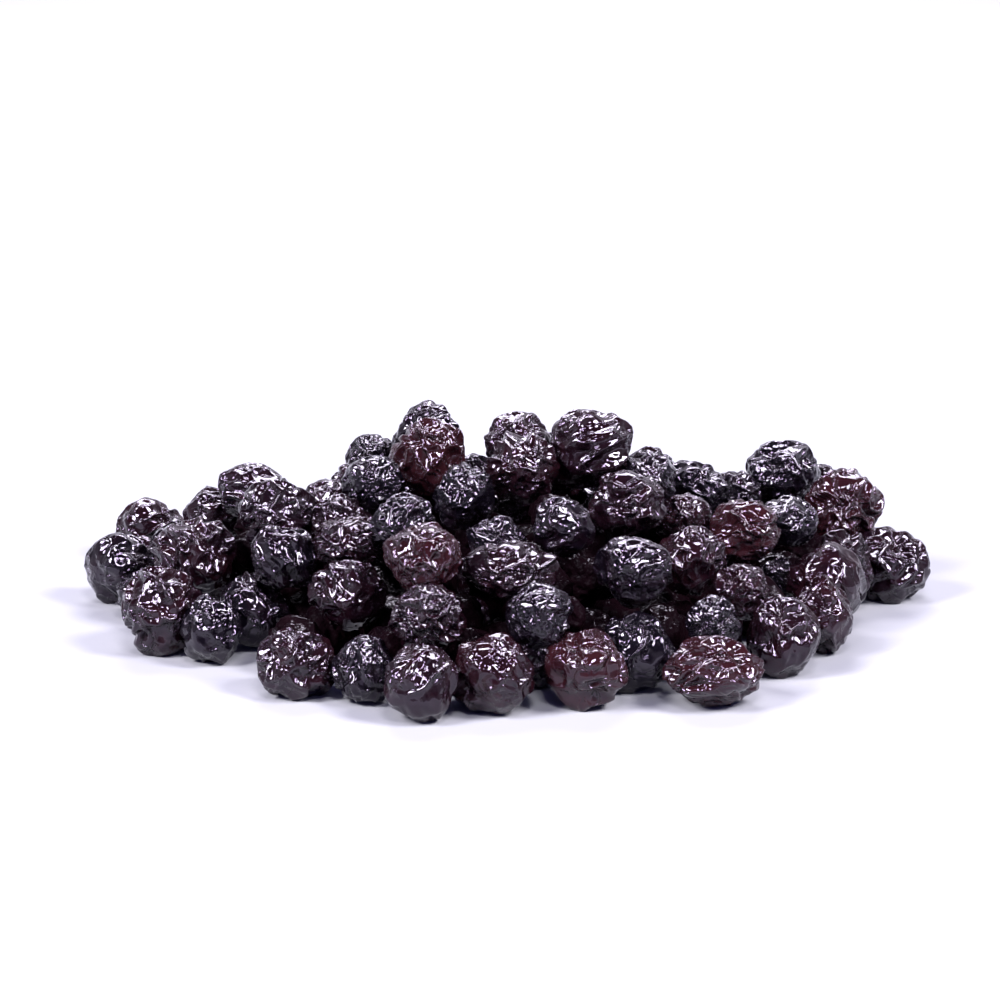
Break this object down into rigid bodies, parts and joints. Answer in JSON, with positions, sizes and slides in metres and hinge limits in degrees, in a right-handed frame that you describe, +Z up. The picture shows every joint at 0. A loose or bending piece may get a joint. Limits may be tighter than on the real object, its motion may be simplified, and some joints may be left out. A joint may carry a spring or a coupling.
{
  "type": "heap of dried sour cherries",
  "caption": "Loose low heap of whole dried sour cherries, wrinkled, dark and glossy, wider than deep and higher in the middle, for a table or a dish.",
  "frame": {"origin": "middle of the heap's footprint, on the table it lies on", "axes": "+X across the heap to the viewer's right, its longest extent, +Y to its far side, +Z up, its shortest extent"},
  "size_m": [0.1522, 0.134, 0.0362],
  "materials": {
    "cherry_skin": "glossy wrinkled fruit skin, almost black with a purple to red-brown cast"
  },
  "bodies": {
    "root": {"cherry_heap": "cherry_skin"}
  },
  "joints": []
}
